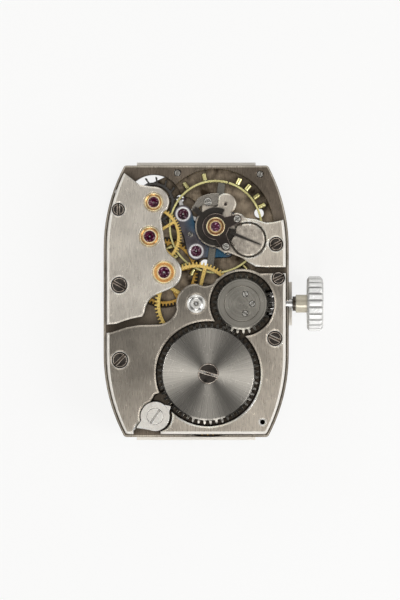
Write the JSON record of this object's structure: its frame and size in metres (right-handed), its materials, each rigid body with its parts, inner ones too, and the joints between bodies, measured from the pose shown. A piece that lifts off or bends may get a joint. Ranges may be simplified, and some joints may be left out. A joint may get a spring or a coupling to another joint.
{
  "type": "mechanical watch movement",
  "caption": "Hand-wound watch movement in a long barrel shape, with its going train, lever escapement, balance, winding work, motion work, winding stem and fluted crown.",
  "frame": {"origin": "axis of the hands, in the dial side's flat face of the main plate", "axes": "+Z from the dial side to the bridges, +X towards the crown, +Y along the plate towards the balance end"},
  "size_m": [0.0192, 0.0243, 0.0055],
  "materials": {
    "plate_brown_nickel": "matt, dark warm nickel",
    "bridge_nickel": "fine matt nickel plating with polished edges",
    "bright_steel": "sunray brushed",
    "crown_steel": "polished",
    "dark_steel": "polished, dark",
    "blued_grey_steel": "satin, blue grey",
    "click_steel": "satin",
    "gilt_brass": "gilt, circular grained",
    "gold": "polished gold",
    "balance_brass": "polished brass",
    "balance_steel": "satin",
    "ruby": "polished ruby",
    "spring_steel": "polished"
  },
  "bodies": {
    "frame": {"mainplate": "plate_brown_nickel", "barrel_bridge": "bridge_nickel", "train_bridge": "bridge_nickel", "balance_cock": "bridge_nickel", "pallet_bridge": "blued_grey_steel", "bridge_screws": "dark_steel", "setting_lever_screw": "dark_steel", "small_screws": "dark_steel", "plate_pins": "bright_steel", "gold_chatons": "gold", "upper_jewels": "ruby", "lower_jewels": "ruby", "centre_bush": "bright_steel", "crown_wheel_core": "bright_steel", "click_screw": "dark_steel", "click_spring": "spring_steel", "endstone_cap": "dark_steel", "stud_clamp": "bright_steel", "hairspring_stud": "bright_steel", "hairspring": "spring_steel", "lower_cap": "bright_steel", "mainspring": "spring_steel", "yoke_spring": "spring_steel", "keyless_cover": "bridge_nickel"},
    "barrel_arbor_body": {"barrel_arbor": "bright_steel", "ratchet_wheel": "bright_steel", "ratchet_screw": "dark_steel"},
    "barrel_body": {"barrel_drum": "gilt_brass", "barrel_cover": "gilt_brass"},
    "crown_wheel_body": {"crown_wheel": "bright_steel"},
    "click_body": {"click": "click_steel"},
    "centre_body": {"centre_wheel": "gilt_brass", "centre_pinion": "bright_steel"},
    "third_body": {"third_wheel": "gilt_brass", "third_pinion": "bright_steel"},
    "fourth_body": {"fourth_wheel": "gilt_brass", "fourth_pinion": "bright_steel"},
    "seconds_body": {"seconds_pinion": "bright_steel"},
    "escape_body": {"escape_wheel": "bright_steel", "escape_pinion": "bright_steel"},
    "fork_body": {"pallet_fork": "bright_steel", "pallet_stones": "ruby"},
    "balance_body": {"balance_wheel": "balance_brass", "balance_screws": "balance_brass", "balance_staff": "balance_steel", "roller": "balance_steel", "impulse_jewel": "ruby", "hairspring_collet": "balance_brass"},
    "regulator_body": {"regulator": "click_steel"},
    "stem_body": {"winding_stem": "bright_steel", "crown": "crown_steel"},
    "winding_pinion_body": {"winding_pinion": "bright_steel"},
    "sliding_pinion_body": {"sliding_pinion": "bright_steel"},
    "setting_lever_body": {"setting_lever": "bright_steel"},
    "yoke_body": {"yoke": "bright_steel"},
    "setting_wheel_body": {"setting_wheel": "bright_steel"},
    "minute_wheel_body": {"minute_wheel": "gilt_brass"},
    "hour_wheel_body": {"hour_wheel": "gilt_brass"},
    "cannon_body": {"cannon_pinion": "bright_steel"}
  },
  "joints": [
    {"name": "centre_turn", "type": "hinge", "parent": "frame", "child": "centre_body", "pos_m": [0, 0, 0.0024], "axis": [0, 0, 1], "continuous": true},
    {"name": "barrel_turn", "type": "hinge", "parent": "frame", "child": "barrel_body", "pos_m": [0.00105, -0.00609, 0.0012], "axis": [0, 0, 1], "continuous": true},
    {"name": "third_turn", "type": "hinge", "parent": "frame", "child": "third_body", "pos_m": [-0.0028, 0.00273, 0.0015], "axis": [0, 0, 1], "continuous": true},
    {"name": "fourth_turn", "type": "hinge", "parent": "frame", "child": "fourth_body", "pos_m": [-0.00405, 0.00585, 0.0015], "axis": [0, 0, 1], "continuous": true},
    {"name": "seconds_turn", "type": "hinge", "parent": "frame", "child": "seconds_body", "pos_m": [0, 0.00459, 0.001], "axis": [0, 0, 1], "continuous": true},
    {"name": "escape_turn", "type": "hinge", "parent": "frame", "child": "escape_body", "pos_m": [-0.00371, 0.00883, 0.0015], "axis": [0, 0, 1], "continuous": true},
    {"name": "cannon_turn", "type": "hinge", "parent": "frame", "child": "cannon_body", "pos_m": [0, 0, 0], "axis": [0, 0, 1], "continuous": true},
    {"name": "minute_wheel_turn", "type": "hinge", "parent": "frame", "child": "minute_wheel_body", "pos_m": [0.0008, 0.00139, 0.0003], "axis": [0, 0, 1], "continuous": true},
    {"name": "hour_wheel_turn", "type": "hinge", "parent": "frame", "child": "hour_wheel_body", "pos_m": [0, 0, 0], "axis": [0, 0, 1], "continuous": true},
    {"name": "setting_wheel_turn", "type": "hinge", "parent": "frame", "child": "setting_wheel_body", "pos_m": [0.00267, 0.00035, 0.0006], "axis": [0, 0, 1], "continuous": true},
    {"name": "winding_turn", "type": "hinge", "parent": "frame", "child": "winding_pinion_body", "pos_m": [0.0064, 0, 0.00169], "axis": [1, 0, 0], "continuous": true},
    {"name": "crown_wheel_turn", "type": "hinge", "parent": "frame", "child": "crown_wheel_body", "pos_m": [0.004, 0, 0.0032], "axis": [0, 0, 1], "continuous": true},
    {"name": "ratchet_turn", "type": "hinge", "parent": "frame", "child": "barrel_arbor_body", "pos_m": [0.00105, -0.00609, 0.003], "axis": [0, 0, 1], "continuous": true, "deforming": ["mainspring"]},
    {"name": "crown_pull", "type": "slide", "parent": "winding_pinion_body", "child": "stem_body", "axis": [1, 0, 0], "range_m": [0, 0.0004]},
    {"name": "clutch_slide", "type": "slide", "parent": "stem_body", "child": "sliding_pinion_body", "axis": [1, 0, 0], "range_m": [-0.0008, 0]},
    {"name": "setting_lever_swing", "type": "hinge", "parent": "frame", "child": "setting_lever_body", "pos_m": [0.00714, 0.00224, 0.0004], "axis": [0, 0, 1], "range_deg": [0, 10.4]},
    {"name": "yoke_swing", "type": "hinge", "parent": "frame", "child": "yoke_body", "pos_m": [0.0049, 0.0025, 0.0004], "axis": [0, 0, 1], "range_deg": [-9.2, 0], "deforming": ["yoke_spring"]},
    {"name": "balance_swing", "type": "hinge", "parent": "frame", "child": "balance_body", "pos_m": [0.00169, 0.00671, 0.002], "axis": [0, 0, 1], "range_deg": [-270, 270], "stiffness_Nm_per_rad": 0.0000004, "deforming": ["hairspring"]},
    {"name": "fork_swing", "type": "hinge", "parent": "frame", "child": "fork_body", "pos_m": [-0.00115, 0.00783, 0.001], "axis": [0, 0, 1], "range_deg": [-5, 5]},
    {"name": "click_lift", "type": "hinge", "parent": "frame", "child": "click_body", "pos_m": [-0.00358, -0.0098, 0.0034], "axis": [0, 0, 1], "range_deg": [0, 24], "stiffness_Nm_per_rad": 0.000002, "deforming": ["click_spring"]},
    {"name": "regulator_turn", "type": "hinge", "parent": "frame", "child": "regulator_body", "pos_m": [0.00169, 0.00671, 0.0035], "axis": [0, 0, 1], "range_deg": [-8, 8]}
  ],
  "couplings": [
    {"joint": "barrel_turn", "follows": "centre_turn", "ratio": -0.17143},
    {"joint": "third_turn", "follows": "centre_turn", "ratio": -10},
    {"joint": "fourth_turn", "follows": "centre_turn", "ratio": 60},
    {"joint": "seconds_turn", "follows": "centre_turn", "ratio": 60},
    {"joint": "escape_turn", "follows": "centre_turn", "ratio": -600},
    {"joint": "cannon_turn", "follows": "centre_turn", "ratio": 1},
    {"joint": "minute_wheel_turn", "follows": "centre_turn", "ratio": -0.33333},
    {"joint": "hour_wheel_turn", "follows": "centre_turn", "ratio": 0.083333},
    {"joint": "setting_wheel_turn", "follows": "centre_turn", "ratio": 0.42857},
    {"joint": "crown_wheel_turn", "follows": "winding_turn", "ratio": -0.53333},
    {"joint": "ratchet_turn", "follows": "winding_turn", "ratio": 0.30769},
    {"joint": "clutch_slide", "follows": "crown_pull", "ratio": -2},
    {"joint": "setting_lever_swing", "follows": "crown_pull", "rad_per_m": 450.7},
    {"joint": "yoke_swing", "follows": "crown_pull", "rad_per_m": -400}
  ]
}
